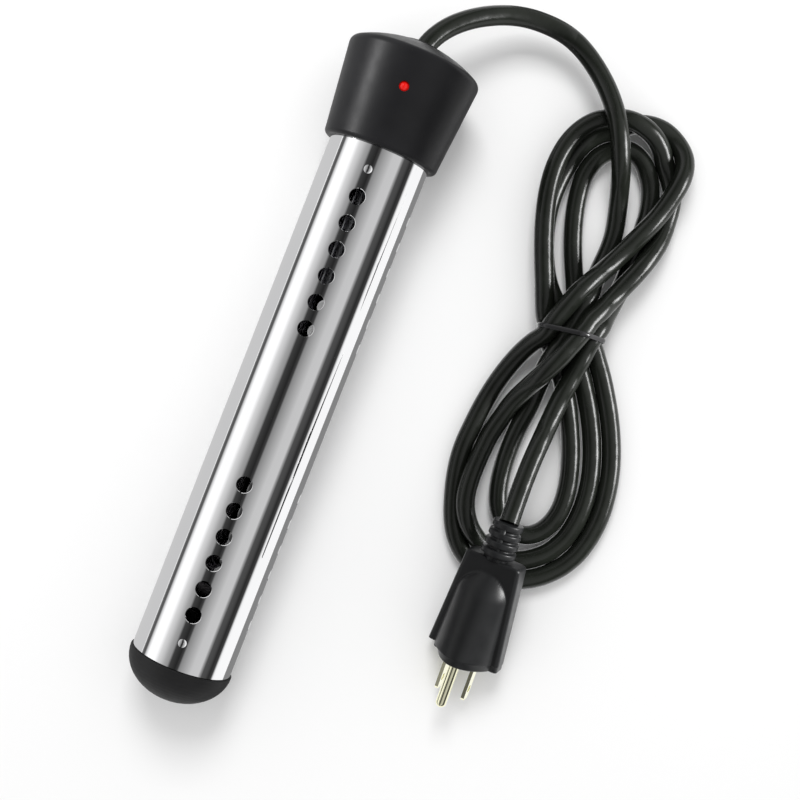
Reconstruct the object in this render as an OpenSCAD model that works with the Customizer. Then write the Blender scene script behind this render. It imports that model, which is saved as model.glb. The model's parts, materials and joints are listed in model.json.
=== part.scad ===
// Submersible bucket heater: a perforated steel guard round a hairpin element,
// a moulded head that seals the electrics, a pull-off end cap, and a tied mains cord.
// It lies on its side on the plane z = 0, with its axis along +Y and the head at the +Y end.
// Inside lay(), z runs up the heater's axis towards the head, y points up and x points to -X.
// Inside place_plug(), z runs out along the blades and z = 0 is the plug's face.

/* [Heater] */
// Length from the end cap's tip to the crown of the head
heater_length = 298.9; // [296:0.1:304]

/* [Guard tube] */
// Outside diameter of the guard tube
tube_d = 44; // [43.6:0.1:44.2]
// Wall of the guard tube
tube_wall = 0.8; // [0.6:0.1:0.9]
// Diameter of the water holes
hole_d = 6.8; // [4:0.1:8]
// Distance between neighbouring holes of a row
hole_pitch = 11.6; // [10:0.1:12]
// Holes in each group
holes_in_group = 6; // [3:1:6]
// Middle of the group nearest the head, along the axis
head_group_z = 48.7; // [44:0.1:52]
// Middle of the group nearest the end cap, along the axis
cap_group_z = -78.35; // [-80:0.05:-70]
// Turn of the hole rows about the axis
hole_roll = -1; // [-10:1:10]

/* [Head] */
// Length of the head
head_length = 49.6; // [49:0.1:50]
// Widest diameter of the head, near its crown
head_d = 58.4; // [56:0.1:60]
// Diameter of the head where it meets the guard tube
head_foot_d = 50.8; // [50:0.1:52]
// Rounding of the head's widest edge
head_round = 3.1; // [2:0.1:4]
// Rounding of the head's lower edge
foot_round = 2; // [0.5:0.1:2.4]
// Angle from the axis at which the crown meets the rounded edge
crown_angle = 29; // [24:1:34]
// Turn of the indicator about the axis
led_roll = 3; // [-10:1:10]

/* [End cap] */
// Length of the domed end cap
cap_length = 18; // [17:0.5:20]
// Diameter of the end cap
cap_d = 45.5; // [45:0.1:46.5]
// Rounding of the end cap's lip
lip_round = 0.6; // [0.3:0.1:1]
// Length of the spigot that plugs into the guard tube
spigot_length = 17; // [14:0.5:18]

/* [Element] */
// Sheath diameter of the hairpin element
element_d = 8; // [6:0.5:8]
// Distance between the element's two legs
leg_gap = 17; // [16:0.5:18]
// Bottom of the hairpin bend, along the axis
hairpin_z = -104; // [-106:1:-90]

/* [Cord] */
// Diameter of the mains cord
cord_d = 8.6; // [8:0.1:8.8]
// Thickness of the tie round the hank
tie_t = 1.5; // [1:0.1:2]
// Width of the tie
tie_w = 2.4; // [1.5:0.1:6]

/* [Plug] */
// Length of the plug's moulded body
plug_length = 48.6; // [44:0.1:50]
// Length of the ribbed strain relief
relief_length = 16.4; // [16:0.1:17]
// Length of the two flat blades
blade_length = 17.5; // [15:0.1:18]
// Diameter of the round earth pin
ground_d = 4.75; // [4.6:0.05:4.9]
// Length of the round earth pin
ground_length = 21; // [19:0.1:22]

/* [Hidden] */
$fn = 96;

// Radii
tube_r = tube_d / 2;
bore_r = tube_r - tube_wall;
hole_r = hole_d / 2;
cap_r = cap_d / 2;
cord_r = cord_d / 2;
element_r = element_d / 2;
ground_r = ground_d / 2;

// Gaps: snug between pieces of one body, loose between pieces that move apart
snug = 0.05;
loose = 0.3;

// Levels along the axis, measured from the middle of the heater
crown_z = heater_length / 2;
head_foot_z = crown_z - head_length;
lip_z = cap_length - heater_length / 2;
tube_foot_z = lip_z + loose;
flange_z = head_foot_z + 12.15;
deck_z = flange_z + 4;
potting_z = deck_z + 5;
cavity_z = deck_z + 23;
led_z = deck_z + 9.5;
bend_z = hairpin_z + leg_gap / 2 + element_r;

// Outline of the head
edge_r = head_d / 2 - head_round;
edge_z = crown_z - 9.85;
foot_r = head_foot_d / 2 - foot_round;
foot_z = head_foot_z + foot_round;
flare_run = norm([edge_r - foot_r, edge_z - foot_z]);
flare_angle = atan((edge_r - foot_r) / (edge_z - foot_z)) + asin((head_round - foot_round) / flare_run);
crown_r = edge_r / sin(crown_angle) + head_round;
crown_centre_z = edge_z - edge_r / tan(crown_angle);
top_z = crown_centre_z + crown_r;
cavity_r = 20.8;

// The heater rests on the head's widest edge and on the end cap's lip
rim_r = cap_r - lip_round;
rim_z = lip_z - lip_round;
rest_run = norm([edge_z - rim_z, edge_r - rim_r]);
tilt = atan((edge_r - rim_r) / (edge_z - rim_z)) + asin((head_round - lip_round) / rest_run);
axis_height = rim_r * cos(tilt) + lip_round - rim_z * sin(tilt);

// Staking dimples that lock the guard tube
head_dimple_z = head_foot_z - 10.15;
cap_dimple_z = lip_z + 11.65;
dimple_depth = 0.5;
dimple_r = 3.5;

// Places on the deck inside the head, as [x, y]
leg_x = leg_gap / 2;
thermostat_at = [0, -11.5];
well_at = [0, 8];
earth_at = [-11.5, 11.5];

// End cap
spigot_r = bore_r - loose;
cap_wall = 4.3;
slot_w = 5;

// Cord gland, cord clamp and indicator in the head
gland_r = 9;
gland_top = 0.6;
bell_r = 7.3;
clamp_x = 9.5;
clamp_z = deck_z + 16;
clamp_half = 3;
cradle = [26, 8];
screw_r = 1.5;
screw_reach = 6;
screw_head = [2.7, 1.8];
led_r = 2.1;
led_flange = [0.4, 0.9];
led_foot = 18.6;
led_body = 8;
led_dome = 1.3;
board = [12, 9.6, 1.6];
resistor = [1.1, 2.8];
resistor_lead = [0.3, 4];
resistor_gap = 1.3;
resistor_drop = 2.6;

// Flange, seal, element ends, pocket, fuse and earth screw
groove = [1.95, 2.3];
ring_r = 0.95;
pin_r = 1.2;
pin_foot_z = deck_z + 3;
bush_r = 3.6;
well_r = 3;
well_wall = 0.6;
well_z = flange_z - 72;
fuse_z = well_z + 4;
fuse_x = 0.6;
fuse_length = 11;
fuse_r = 1.45;
fuse_lead_r = 0.35;
fuse_lead_x = 1.6;
earth_r = 2;
earth_head = [3.5, 2.4];
lug = [3.4, 0.8];
lug_tab = [6, 3];
lug_turn = -37;

// Thermostat
cup_r = 8.6;
cup_wall = 0.7;
disc_r = 7.3;
disc_z = deck_z + 0.8;
disc_t = 0.3;
base_r = cup_r - cup_wall - snug;
base_foot_z = deck_z + 2;
base_top_z = deck_z + 10;
chamber_z = deck_z + 6;
chamber = [13, 5.2];
transfer_r = 1;
arm_z = chamber_z + 1.4;
arm_t = 0.25;
arm_w = 2.4;
hinge_x = -5;
contact_x = 3.6;
contact_r = 0.9;
contact_gap = 0.08;
tab_reach = [5.7, 13];
tab = [3.2, 0.8];
tab_leg = 0.7;

// Wires inside the head, as [x, y, level above the deck]
wire_r = 1.1;
thin_wire_r = 0.55;
wire_sides = 8;
live_route = [[1.5, 0.9, 11.5], [2.3, 3.2, 9.8], [2.1, 6, 8], [1.6, 8, 6.2]];
fuse_route = [
    [-0.6, 8, 6.2], [-3.2, 6.4, 6.8], [-4.4, 3, 7.2], [-4, -1.2, 7.8],
    [-6.4, -4.4, 8.6], [-10, -7, 8.8], [-12, -11.5, 8.8]
];
load_route = [[12, -11.5, 8.8], [13.6, -7, 8.8], [12.4, -2.6, 9.6], [8.5, 0, 10.4]];
neutral_route = [[0, -1.7, 11.5], [-1.2, -2.8, 10.9], [-4.6, -2, 10.7], [-8.5, 0, 10.4]];
earth_route = [[-1.5, 0.9, 11.5], [-3.4, 3.2, 10.2], [-5.4, 6, 8.2], [-6.9, 8, 6.4]];
led_live_route = [[4, 17, 11], [7, 12, 10.6], [9.4, 5.5, 10.2], [8.6, 0.8, 10]];
led_neutral_route = [[-4, 17, 11], [-6, 13, 11.6], [-8.6, 6, 11.6], [-8.6, 0.8, 10.6]];

// Cord route from inside the head to the hank, and from the hank to the plug, in the row frame
lead_route = [
    [0, 127, 28.9], [0, 134, 29.1], [0, 141, 29.2], [0.3, 146.5, 29.4], [1.6, 152, 29.2],
    [7.7, 162, 27.5], [16.3, 170, 24.5], [25, 176, 20.5], [34, 180, 17.5], [42.5, 181.5, 15.5],
    [58, 180.5, 14.5], [72.5, 171, 15], [84, 161, 19], [92.3, 149, 21.6], [97, 141.5, 20]
];
tail_route = [
    [114.6, 62, 14.5], [113, 46, 15], [111.3, 32, 16], [110.5, 19.5, 17.6],
    [109, 7.5, 20], [108.6, -9, 23], [108.9, -25.5, 25.9]
];
cord_sides = 10;

// Hank: tip of each lobe, how far it swells to each side, and how near the tip it is widest
upper_tip = [104, 165];
upper_swell = [34, 26];
upper_fullness = [1.1, 1.5];
lower_tip = [115, -57];
lower_swell = [32, 38];
lower_fullness = [0.7, 0.9];
upper_lobe_h = 17.4;
lower_lobe_h = 8.8;
waist_at = [105, 60.5];
waist_slope = 7.3;
waist_half = 14;
waist_overlap = 3;
waist_length = 22;
waist_reach = 30;
waist_strands = [[-9.7, 5.8], [9.7, 5.8], [9.7, 14.4], [3, 21.5], [-9.7, 17]];

// Plug, resting on one lower edge of its face and on the hank
plug_face = [111.8, -89.5, 15.2];
plug_pitch = 9.5;
plug_yaw = 2.6;
plug_roll = 18;
face_hump = [0, 6, 6.5];
face_foot = [12.7, -7.2, 3.6];
rim_hump = [0, 6.5, 7.5];
rim_foot = [12.9, -7.5, 4.5];
rear_hump = [0, 3, 6];
rear_foot = [8.6, -4, 4];
relief_r = 7.7;
groove_r = 6;
rib_count = 4;
blade_x = 6.35;
blade_y = -5.9;
blade_w = 6.35;
blade_t = 1.5;
ground_y = 6;
socket_depth = 12;
carrier_depth = 8;
carrier_foot = [17, 9.4];
carrier_stem = [8, 10.2];
stem_y = 3.8;
blade_corner = 1.1;
blade_hole = [1.6, 5.2];
hull_fn = 32;

// ---------- helpers ----------

// Points along an arc in the plane
function arc_points(centre, radius, from, to, steps = 10) = [
    for (i = [0:steps])
        let (a = from + (to - from) * i / steps)
            centre + radius * [cos(a), sin(a)]
];

// Point of a smooth curve between b and c
function curve_point(a, b, c, d, t) =
    0.5 * (2 * b + (c - a) * t + (2 * a - 5 * b + 4 * c - d) * t * t
    + (3 * b - a - 3 * c + d) * t * t * t);

// Smooth open curve through the points of a route
function smooth_route(route, steps) =
    let (last = len(route) - 1)
    [
        for (i = [0:last - 1])
            for (k = [0:steps - 1])
                curve_point(
                    route[max(i - 1, 0)], route[i], route[i + 1], route[min(i + 2, last)], k / steps
                ),
        route[last]
    ];

// Sideways swell of one side of a lobe, 1 at its widest; angle runs from the waist round the tip
function swell_share(angle, fullness) =
    let (top = (fullness + 1) / (fullness + 2))
    abs(sin(angle)) * pow(sin(angle / 2), fullness) / (2 * pow(top, (fullness + 1) / 2) * sqrt(1 - top));

// Outer edge of a lobe, from one side of the waist round the tip to the other side
function lobe_edge(tip, swell, fullness) =
    let (way = unit(tip - waist_at), side = [abs(way.y), -way.x * sign(way.y)])
    [
        for (a = [0:12:360])
            let (
                half = -waist_half * cos(a / 2),
                base = waist_at - waist_overlap * way + half * [cos(waist_slope), sin(waist_slope)],
                k = a < 180 ? 0 : 1,
                out = (2 * k - 1) * swell[k] * swell_share(a, fullness[k])
            )
                base + (tip - base) * (1 - cos(a)) / 2 + side * out
    ];

function unit(v) = v / norm(v);

// Direction of a path at each of its points
function headings(path) =
    let (last = len(path) - 1)
    [for (i = [0:last]) unit(path[min(i + 1, last)] - path[max(i - 1, 0)])];

// Sideways direction carried along the path without twisting
function carried(ways, side, i = 0) =
    i == len(ways) ? [] :
    let (flat = unit(side - (side * ways[i]) * ways[i]))
    concat([flat], carried(ways, flat, i + 1));

// Round tube swept along a path
module sweep(path, radius, sides) {
    ways = headings(path);
    across = carried(ways, [1, 0.3, 0.2]);
    last = len(path) - 1;
    points = [
        for (i = [0:last])
            for (k = [0:sides - 1])
                let (a = 360 * k / sides)
                    path[i] + radius * (cos(a) * across[i] + sin(a) * cross(ways[i], across[i]))
    ];
    walls = [
        for (i = [0:last - 1])
            for (k = [0:sides - 1])
                let (a = i * sides + k, b = i * sides + (k + 1) % sides)
                    each [[a, a + sides, b], [b, a + sides, b + sides]]
    ];
    start = [[for (k = [0:sides - 1]) k]];
    end = [[for (k = [sides - 1:-1:0]) last * sides + k]];
    polyhedron(points, concat(walls, start, end), convexity = 8);
}

// Lays the upright heater on its side, on the head's edge and the cap's lip
module lay() {
    translate([0, 0, axis_height])
        rotate([tilt, 0, 0])
            rotate([90, 0, 180])
                children();
}

// Places the plug where it lies, pins towards -Y
module place_plug() {
    translate(plug_face)
        rotate([plug_pitch, 0, plug_yaw])
            rotate([90, 0, 0])
                rotate([0, 0, plug_roll])
                    children();
}

// Rod along z between two levels
module rod(radius, low, high) {
    translate([0, 0, low])
        cylinder(r = radius, h = high - low);
}

// Pipe along z between two levels
module pipe(outer, inner, low, high) {
    difference() {
        rod(outer, low, high);
        rod(inner, low - 1, high + 1);
    }
}

// Upright block centred on the axis in x and y
module block(size, low, high) {
    translate([-size.x / 2, -size.y / 2, low])
        cube([size.x, size.y, high - low]);
}

// Wire inside the head, along a route given above the deck
module wire(route, radius) {
    sweep(smooth_route([for (p = route) p + [0, 0, deck_z]], 3), radius, wire_sides);
}

// Copies at the element's two legs
module at_legs() {
    for (side = [-1, 1])
        translate([side * leg_x, 0, 0])
            children();
}

// ---------- casings ----------

// Half outline of the head: outside, crown and the sealed cavity
module head_outline() {
    polygon(concat(
        [[tube_r + snug, head_foot_z]],
        arc_points([foot_r, foot_z], foot_round, -90, -flare_angle),
        arc_points([edge_r, edge_z], head_round, -flare_angle, 90 - crown_angle),
        arc_points([0, crown_centre_z], crown_r, 90 - crown_angle, 90),
        [[0, cavity_z], [cavity_r - 2, cavity_z], [cavity_r, cavity_z - 2]],
        [[cavity_r, deck_z], [tube_r + snug, deck_z]]
    ));
}

module head_cap() {
    color("#2b2b2d")
        lay()
            difference() {
                union() {
                    rotate_extrude()
                        head_outline();
                    translate([0, -cradle.y / 2, 0])
                        block(cradle, clamp_z - clamp_half - 1, cavity_z + 1);
                }
                rod(cord_r, clamp_z - clamp_half - 2, cavity_z + 2);
                rod(gland_r + snug, cavity_z, top_z + 1);
                led_place()
                    rod(led_r + snug, led_foot - 1, head_d);
                for (side = [-1, 1])
                    translate([side * clamp_x, 0, clamp_z])
                        rotate([90, 0, 0])
                            rod(screw_r + snug, -1, screw_reach + 0.2);
            }
}

// Rubber bush in the crown, bell-mouthed so that the cord can lean as it leaves
module cable_gland() {
    rim_top = crown_centre_z + sqrt(crown_r * crown_r - gland_r * gland_r) + gland_top;
    throat_z = cavity_z + 2;
    bell = [
        for (i = [0:8])
            let (s = i / 8)
                [cord_r + snug + (bell_r - cord_r) * s * s, throat_z + (rim_top - throat_z) * s]
    ];
    color("#1d1d1f")
        lay()
            rotate_extrude()
                polygon(concat(
                    [[cord_r + snug, cavity_z]],
                    bell,
                    [[gland_r - 0.6, rim_top], [gland_r, rim_top - 0.6], [gland_r, cavity_z]]
                ));
}

// Frame of the indicator: z runs out through the head's wall
module led_place() {
    rotate([0, 0, led_roll])
        translate([0, 0, led_z])
            rotate([-90, 0, 0])
                children();
}

module indicator_led() {
    color("#d81e12")
        lay()
            led_place() {
                rod(led_r + led_flange[0], led_foot, led_foot + led_flange[1]);
                rod(led_r, led_foot, led_foot + led_body);
                translate([0, 0, led_foot + led_body])
                    intersection() {
                        translate([0, 0, -led_dome])
                            sphere(r = norm([led_r, led_dome]));
                        rod(led_r, 0, led_r);
                    }
            }
}

// Punch marks that lock the tube, as balls sunk in its wall
module dimples(radius) {
    for (level = [head_dimple_z, cap_dimple_z])
        for (turn = [0:90:270])
            rotate([0, 0, hole_roll + turn])
                translate([0, tube_r + dimple_r - dimple_depth, level])
                    sphere(r = radius, $fn = 48);
}

module guard_tube() {
    first = -(holes_in_group - 1) / 2;
    color("#c9ccd0")
        lay()
            difference() {
                union() {
                    pipe(tube_r, bore_r, tube_foot_z, flange_z);
                    intersection() {
                        dimples(dimple_r + tube_wall);
                        rod(tube_r, tube_foot_z, flange_z);
                    }
                }
                dimples(dimple_r);
                for (middle = [head_group_z, cap_group_z])
                    for (i = [0:holes_in_group - 1])
                        for (turn = [0, 90])
                            rotate([0, 0, hole_roll + turn])
                                translate([0, 0, middle + (first + i) * hole_pitch])
                                    rotate([90, 0, 0])
                                        cylinder(r = hole_r, h = tube_d + 4, center = true, $fn = 48);
            }
}

// Domed cap with a hollow spigot, slotted so that it slides past the dimples
module end_cap() {
    inner_r = cap_r - cap_wall;
    dome_h = rim_z + heater_length / 2;
    inner_h = dome_h - cap_wall;
    color("#1a1a1b")
        lay()
            difference() {
                rotate_extrude()
                    polygon(concat(
                        [[inner_r, lip_z + spigot_length], [spigot_r - 1, lip_z + spigot_length]],
                        [[spigot_r, lip_z + spigot_length - 3], [spigot_r, lip_z]],
                        arc_points([rim_r, rim_z], lip_round, 90, 0, 5),
                        [for (a = [6:6:90]) [cap_r * cos(a), rim_z - dome_h * sin(a)]],
                        [for (a = [90:-6:0]) [inner_r * cos(a), rim_z - inner_h * sin(a)]]
                    ));
                for (turn = [0:90:270])
                    rotate([0, 0, hole_roll + turn])
                        translate([-slot_w / 2, inner_r - 1, cap_dimple_z - 3.5])
                            cube([slot_w, cap_wall + 2, spigot_length]);
            }
}

// ---------- element and its flange ----------

// Steel disc that carries the element, the pocket and the earth screw
module element_flange() {
    rim = tube_r - snug;
    seat_z = (flange_z + deck_z) / 2;
    color("#b9bcc0")
        lay()
            difference() {
                rod(rim, flange_z, deck_z);
                pipe(rim + 1, rim - groove.x, seat_z - groove.y / 2, seat_z + groove.y / 2);
                at_legs()
                    rod(element_r + snug, flange_z - 1, deck_z + 1);
                translate(well_at)
                    rod(well_r + snug, flange_z - 1, deck_z + 1);
                translate(earth_at)
                    rod(earth_r + snug, flange_z + 0.8, deck_z + 1);
            }
}

module head_o_ring() {
    color("#202020")
        lay()
            translate([0, 0, (flange_z + deck_z) / 2])
                rotate_extrude()
                    translate([tube_r + snug - ring_r - 0.02, 0])
                        circle(r = ring_r, $fn = 32);
}

// Hairpin element: two legs and a half-round bend
module heating_element() {
    color("#8d8f92")
        lay() {
            at_legs()
                rod(element_r, bend_z, pin_foot_z);
            translate([0, 0, bend_z])
                rotate([-90, 0, 0])
                    rotate_extrude(angle = 180)
                        translate([leg_x, 0])
                            circle(r = element_r, $fn = 48);
        }
}

module terminal_pins() {
    color("#c8a24a")
        lay()
            at_legs()
                rod(pin_r, pin_foot_z, pin_foot_z + 8);
}

module ceramic_bushes() {
    color("#efece4")
        lay()
            at_legs()
                pipe(bush_r, pin_r + snug, pin_foot_z, pin_foot_z + 3);
}

// Closed pocket that holds the thermal fuse down among the element's legs
module thermowell() {
    color("#b4b7bb")
        lay()
            translate(well_at)
                difference() {
                    rod(well_r, well_z, deck_z + 1);
                    rod(well_r - well_wall, well_z + 1, deck_z + 2);
                }
}

// Fuse body with one lead straight up and the other turned back beside it
module thermal_fuse() {
    turn_z = fuse_z - 1.8;
    color("#d8c9a0")
        lay()
            translate(well_at) {
                translate([-fuse_x, 0, 0]) {
                    rod(fuse_r, fuse_z, fuse_z + fuse_length);
                    rod(fuse_lead_r, turn_z, deck_z + 6);
                }
                translate([fuse_lead_x, 0, 0])
                    rod(fuse_lead_r, turn_z, deck_z + 6);
                translate([-fuse_x, -fuse_lead_r, turn_z])
                    cube([fuse_x + fuse_lead_x, 2 * fuse_lead_r, 2 * fuse_lead_r]);
            }
}

// ---------- thermostat ----------

module at_thermostat() {
    lay()
        translate(thermostat_at)
            children();
}

module thermostat_cup() {
    color("#c2c5c9")
        at_thermostat()
            difference() {
                rod(cup_r, deck_z, deck_z + 4);
                rod(cup_r - cup_wall, deck_z + 0.5, deck_z + 5);
            }
}

// Snap disc, dished upwards by a little at its middle
module bimetal_disc() {
    color("#b08d57")
        at_thermostat()
            rotate_extrude()
                polygon([
                    [0, disc_z + 0.2], [disc_r, disc_z],
                    [disc_r, disc_z + disc_t], [0, disc_z + disc_t + 0.2]
                ]);
}

module transfer_pin() {
    foot = disc_z + disc_t + 0.2;
    tip = arm_z - 0.1;
    color("#e9e4d6")
        at_thermostat() {
            rod(transfer_r, foot, tip - 0.8);
            translate([0, 0, tip - 0.8])
                cylinder(r1 = transfer_r, r2 = 0.4, h = 0.8);
        }
}

module thermostat_base() {
    color("#3a2a22")
        at_thermostat()
            difference() {
                rod(base_r, base_foot_z, base_top_z);
                block(chamber, chamber_z, base_top_z + 1);
                rod(transfer_r + 0.06, base_foot_z - 1, chamber_z + 1);
                translate([contact_x, 0, 0])
                    rod(0.6, chamber_z - 1.5, chamber_z + 1);
            }
}

// Leaf that the transfer pin lifts, turning about its left end
module contact_arm() {
    color("#c77d3b")
        at_thermostat()
            translate([hinge_x, -arm_w / 2, arm_z])
                cube([contact_x + contact_r - hinge_x + 0.3, arm_w, arm_t]);
}

module moving_contact() {
    color("#d9d9d6")
        at_thermostat()
            translate([contact_x, 0, 0])
                rod(contact_r, arm_z - 0.6, arm_z);
}

module fixed_contact() {
    color("#d9d9d6")
        at_thermostat()
            translate([contact_x, 0, 0]) {
                rod(contact_r, chamber_z, arm_z - 0.6 - contact_gap);
                rod(0.6, chamber_z - 1.4, chamber_z);
            }
}

// Two bent tabs: one leg down into the chamber, one blade out over the rim
module thermostat_terminals() {
    color("#c8a24a")
        at_thermostat()
            for (side = [0, 1])
                mirror([side, 0, 0])
                    translate([tab_reach[0], -tab.x / 2, 0]) {
                        translate([0, 0, base_top_z])
                            cube([tab_reach[1] - tab_reach[0], tab.x, tab.y]);
                        translate([0, 0, chamber_z])
                            cube([tab_leg, tab.x, base_top_z - chamber_z]);
                    }
}

// Resin poured over the flange, round everything that stands on it
module potting() {
    color("#4a4a46")
        lay()
            difference() {
                rod(cavity_r - snug, deck_z, potting_z);
                at_legs()
                    rod(element_r + snug, deck_z - 1, potting_z + 1);
                translate(thermostat_at)
                    rod(cup_r + snug, deck_z - 1, potting_z + 1);
                translate(well_at)
                    rod(well_r + snug, deck_z - 1, potting_z + 1);
                translate(earth_at)
                    rod(earth_r + snug, deck_z - 1, potting_z + 1);
            }
}

// ---------- wiring inside the head ----------

module live_lead() {
    color("#151515")
        lay()
            wire(live_route, wire_r);
}

module fuse_lead() {
    color("#7a1f16")
        lay()
            wire(fuse_route, wire_r);
}

module load_lead() {
    color("#7a1f16")
        lay()
            wire(load_route, wire_r);
}

module neutral_lead() {
    color("#e6e4de")
        lay()
            wire(neutral_route, wire_r);
}

// Green wire on to the flat tab of a ring lug
module earth_lead() {
    color("#2f8f3a")
        lay() {
            wire(earth_route, wire_r);
            translate([0, 0, potting_z + 0.1])
                linear_extrude(height = lug[1])
                    translate(earth_at)
                        difference() {
                            union() {
                                circle(r = lug[0]);
                                rotate(lug_turn)
                                    translate([0, -lug_tab.y / 2])
                                        square(lug_tab);
                            }
                            circle(r = earth_r + snug);
                        }
        }
}

module earth_screw() {
    color("#c6a24c")
        lay()
            translate(earth_at) {
                rod(earth_r, flange_z + 1, potting_z + 1);
                rod(earth_head[0], potting_z + 1, potting_z + 1 + earth_head[1]);
            }
}

module led_board() {
    color("#2d6b3c")
        lay()
            rotate([0, 0, led_roll])
                translate([-board.x / 2, led_foot - board.z, potting_z + 0.2])
                    cube([board.x, board.z, board.y]);
}

// Resistor body across the back of the board, with its two bent leads
module led_resistor() {
    back = led_foot - board.z;
    color("#c9b48a")
        lay()
            rotate([0, 0, led_roll])
                translate([0, back - resistor_gap, led_z - resistor_drop]) {
                    rotate([0, 90, 0])
                        rod(resistor[0], -resistor[1], resistor[1]);
                    rotate([0, 90, 0])
                        rod(resistor_lead[0], -resistor_lead[1], resistor_lead[1]);
                    for (side = [-1, 1])
                        translate([side * resistor_lead[1], 0, 0])
                            rotate([-90, 0, 0])
                                rod(resistor_lead[0], 0, resistor_gap);
                }
}

module led_leads() {
    color("#a33a2a")
        lay() {
            wire(led_live_route, thin_wire_r);
            wire(led_neutral_route, thin_wire_r);
        }
}

// Bar that presses the cord's jacket into the cradle
module cord_clamp() {
    color("#3a3a3c")
        lay()
            difference() {
                translate([-cradle.x / 2, loose, clamp_z - clamp_half])
                    cube([cradle.x, screw_reach - loose, 2 * clamp_half]);
                rod(cord_r, clamp_z - clamp_half - 1, clamp_z + clamp_half + 1);
                for (side = [-1, 1])
                    translate([side * clamp_x, 0, clamp_z])
                        rotate([-90, 0, 0])
                            rod(screw_r + snug, -1, screw_reach + 1);
            }
}

module clamp_screws() {
    color("#c9ccd0")
        lay()
            for (side = [-1, 1])
                translate([side * clamp_x, 0, clamp_z])
                    rotate([-90, 0, 0])
                        difference() {
                            union() {
                                rod(screw_r, -screw_reach, screw_reach);
                                rod(screw_head[0], screw_reach, screw_reach + screw_head[1]);
                            }
                            translate([-2, -0.35, screw_reach + 1])
                                cube([4, 0.7, 2]);
                        }
}

// ---------- cord ----------

module cord_lead() {
    color("#232320")
        sweep(smooth_route(lead_route, 2), cord_r, cord_sides);
}

module cord_tail() {
    color("#232320")
        sweep(smooth_route(tail_route, 2), cord_r, cord_sides);
}

// Section of the tied strands, drawn round the outermost of them
module waist_section(radius) {
    hull()
        for (strand = waist_strands)
            translate(strand)
                circle(r = radius, $fn = hull_fn);
}

// Stands the section across the hank, over a stretch of its length
module across_waist(length) {
    translate([waist_at.x, waist_at.y, 0])
        rotate([90, 0, waist_slope])
            linear_extrude(height = length, center = true)
                children();
}

module upper_lobe() {
    polygon(lobe_edge(upper_tip, upper_swell, upper_fullness));
}

module lower_lobe() {
    polygon(lobe_edge(lower_tip, lower_swell, lower_fullness));
}

// Outer shape of the figure-of-eight hank: two lobes and the tied waist
module cord_hank() {
    color("#232320")
        union() {
            linear_extrude(height = upper_lobe_h)
                upper_lobe();
            linear_extrude(height = lower_lobe_h)
                lower_lobe();
            linear_extrude(height = upper_lobe_h)
                intersection() {
                    lower_lobe();
                    translate(waist_at)
                        square(2 * waist_reach, center = true);
                }
            across_waist(waist_length)
                waist_section(cord_r - 0.01);
        }
}

module cord_tie() {
    color("#141414")
        across_waist(tie_w)
            difference() {
                waist_section(cord_r + tie_t);
                waist_section(cord_r);
            }
}

// ---------- plug ----------

// Three discs that a hull joins into one slice of the body: its hump and its two feet
module plug_slice(level, hump, foot) {
    translate([hump.x, hump.y, level])
        cylinder(r = hump.z, h = 1, $fn = hull_fn);
    for (side = [-1, 1])
        translate([side * foot.x, foot.y, level])
            cylinder(r = foot.z, h = 1, $fn = hull_fn);
}

// Block that holds the pins: a wide foot across the blades and a stem up to the earth pin
module carrier_block() {
    translate([0, blade_y, 0])
        block(carrier_foot, -socket_depth, -socket_depth + carrier_depth);
    translate([0, stem_y, 0])
        block(carrier_stem, -socket_depth, -socket_depth + carrier_depth);
}

// Shape that the pins and their carrier leave free inside the moulding
module pin_room() {
    carrier_block();
    for (side = [-1, 1])
        translate([side * blade_x, blade_y, 0])
            block([blade_t, blade_w], -socket_depth, 1);
    translate([0, ground_y, 0])
        rod(ground_r, -socket_depth, 1);
}

module plug_overmould() {
    color("#343436")
        place_plug()
            difference() {
                union() {
                    hull() {
                        plug_slice(-1, face_hump, face_foot);
                        plug_slice(-3, rim_hump, rim_foot);
                        plug_slice(-plug_length, rear_hump, rear_foot);
                    }
                    relief_ribs();
                }
                pin_room();
            }
}

// Ribbed strain relief behind the body
module relief_ribs() {
    pitch = relief_length / rib_count;
    rod(groove_r, -plug_length - relief_length, -plug_length);
    for (i = [0:rib_count - 1])
        translate([0, 0, -plug_length - relief_length + i * pitch])
            rod(relief_r, 0, pitch * 0.68);
}

module blade_carrier() {
    color("#8a8a88")
        place_plug()
            difference() {
                carrier_block();
                for (side = [-1, 1])
                    translate([side * blade_x, blade_y, 0])
                        block([blade_t, blade_w], -socket_depth - 1, 1);
                translate([0, ground_y, 0])
                    rod(ground_r, -socket_depth - 1, 1);
            }
}

// Flat blade with cut corners and a locating hole near its tip
module blade(side) {
    half = blade_w / 2;
    shoulder = blade_length - blade_corner;
    tip = half - blade_corner;
    place_plug()
        translate([side * blade_x - blade_t / 2, blade_y, 0])
            rotate([90, 0, 90])
                linear_extrude(height = blade_t)
                    difference() {
                        polygon([
                            [-half, -socket_depth], [half, -socket_depth],
                            [half, shoulder], [tip, blade_length],
                            [-tip, blade_length], [-half, shoulder]
                        ]);
                        translate([0, blade_length - blade_hole[1]])
                            circle(r = blade_hole[0], $fn = 32);
                    }
}

module live_blade() {
    color("#d9c57e")
        blade(1);
}

module neutral_blade() {
    color("#d9c57e")
        blade(-1);
}

// Round earth pin: a slimmer root inside the moulding and a domed tip
module ground_pin() {
    color("#d9c57e")
        place_plug()
            translate([0, ground_y, 0]) {
                rod(ground_r - 0.3, -socket_depth, 0);
                rod(ground_r, 0, ground_length - ground_r);
                translate([0, 0, ground_length - ground_r])
                    intersection() {
                        sphere(r = ground_r, $fn = 48);
                        rod(ground_r + 1, 0, ground_r + 1);
                    }
            }
}

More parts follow.
